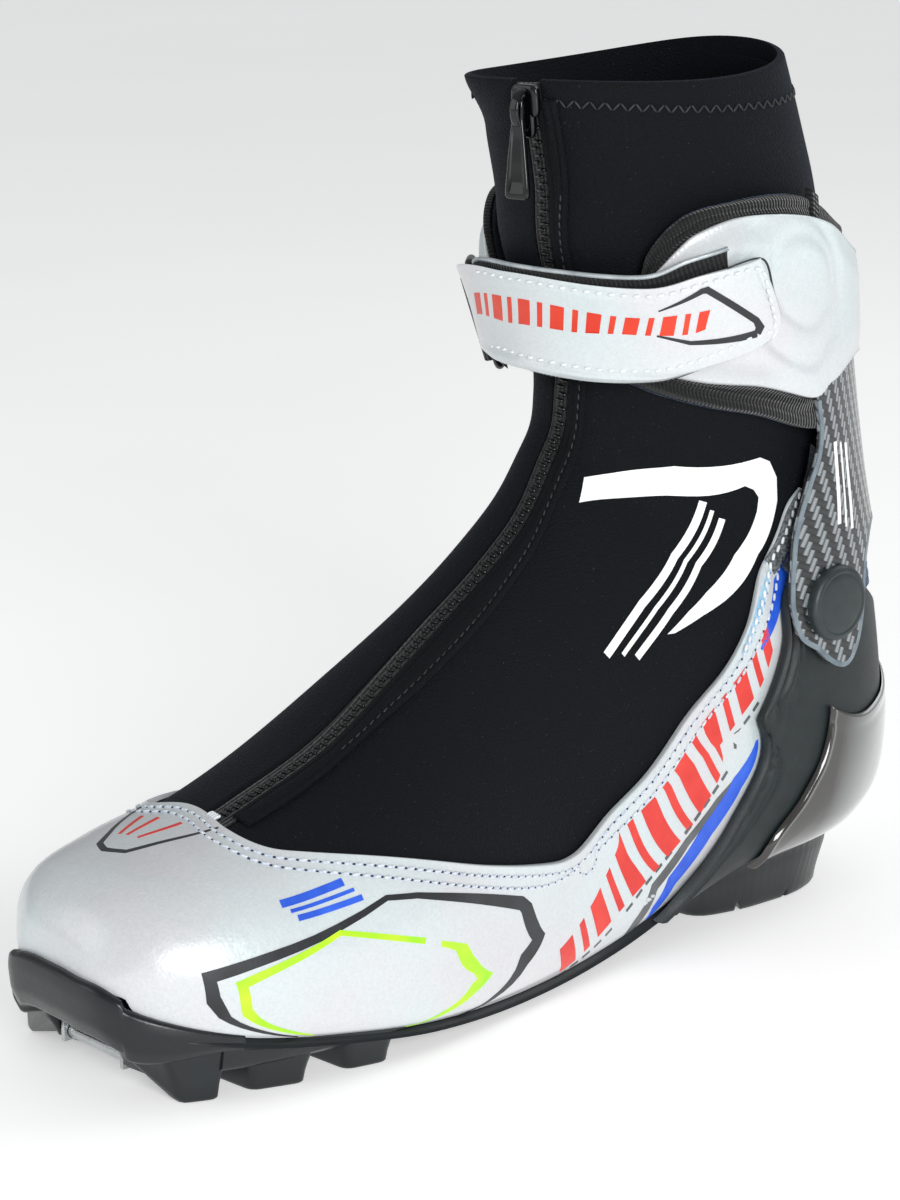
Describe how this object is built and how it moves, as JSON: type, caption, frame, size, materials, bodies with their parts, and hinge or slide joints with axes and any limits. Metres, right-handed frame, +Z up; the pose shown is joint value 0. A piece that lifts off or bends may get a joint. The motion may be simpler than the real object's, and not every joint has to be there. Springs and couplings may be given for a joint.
{
  "type": "cross country ski boot",
  "caption": "Cross country skating boot with zipped gaiter, hinged carbon cuff, ankle strap and grooved sole with a toe bar.",
  "frame": {"origin": "on the floor under the middle of the boot's box", "axes": "+Z up, toe towards -Y, outer side of the left foot towards +X"},
  "size_m": [0.1042, 0.3042, 0.252],
  "materials": {
    "sole_tpu": "moulded TPU, satin black",
    "steel": "bright steel",
    "board": "fibre board",
    "lining": "dark brushed lining",
    "neoprene": "black neoprene with a fine knitted face",
    "webbing": "black elastic and woven tape",
    "zip_nylon": "glossy black plastic",
    "pearl_leather": "pearl silver coated synthetic leather",
    "counter_rubber": "matt dark rubbery plastic",
    "grey_gloss": "glossy grey moulded plastic",
    "carbon": "carbon twill under clear lacquer",
    "pivot_plastic": "dark satin plastic"
  },
  "bodies": {
    "shoe": {"outsole": "sole_tpu", "heel_block": "sole_tpu", "toe_bar": "steel", "toe_bar_plate": "steel", "lasting_board": "board", "footbed": "lining", "liner": "lining", "gaiter": "neoprene", "zip_tape": "webbing", "zip_teeth": "zip_nylon", "zip_flap": "neoprene", "vamp": "pearl_leather", "heel_counter": "counter_rubber", "counter_padding": "webbing", "heel_cradle": "grey_gloss", "heel_loop": "webbing"},
    "cuff": {"carbon_cuff": "carbon", "cuff_padding": "lining", "cuff_trim_top": "webbing", "cuff_trim_bottom": "webbing", "cuff_shell": "pearl_leather", "pivot_outer": "pivot_plastic", "pivot_inner": "pivot_plastic", "ring_tab": "webbing", "strap_ring": "zip_nylon", "strap_inner": "webbing", "collar_hem": "webbing"},
    "strap": {"strap_outer": "pearl_leather", "hook_patch": "webbing"},
    "slider": {"zip_slider": "zip_nylon"},
    "pull": {"zip_pull": "zip_nylon"}
  },
  "joints": [
    {"name": "cuff_flex", "type": "hinge", "parent": "shoe", "child": "cuff", "pos_m": [-0.0015, 0.09255, 0.09445], "axis": [1, 0, 0], "range_deg": [-6, 16], "stiffness_Nm_per_rad": 6, "deforming": ["gaiter", "liner", "zip_tape", "zip_teeth", "zip_flap"]},
    {"name": "strap_open", "type": "hinge", "parent": "cuff", "child": "strap", "pos_m": [-0.03494, 0.02787, 0.17446], "axis": [0.2037, 0.2035, -0.9576], "range_deg": [0, 150]},
    {"name": "zip_slide", "type": "slide", "parent": "cuff", "child": "slider", "axis": [-0.0209, 0.0874, -0.996], "range_m": [0, 0.01]},
    {"name": "zip_pull_swing", "type": "hinge", "parent": "slider", "child": "pull", "pos_m": [0.00689, 0.00245, 0.2384], "axis": [-0.9762, -0.2168, 0], "range_deg": [0, 150]}
  ]
}
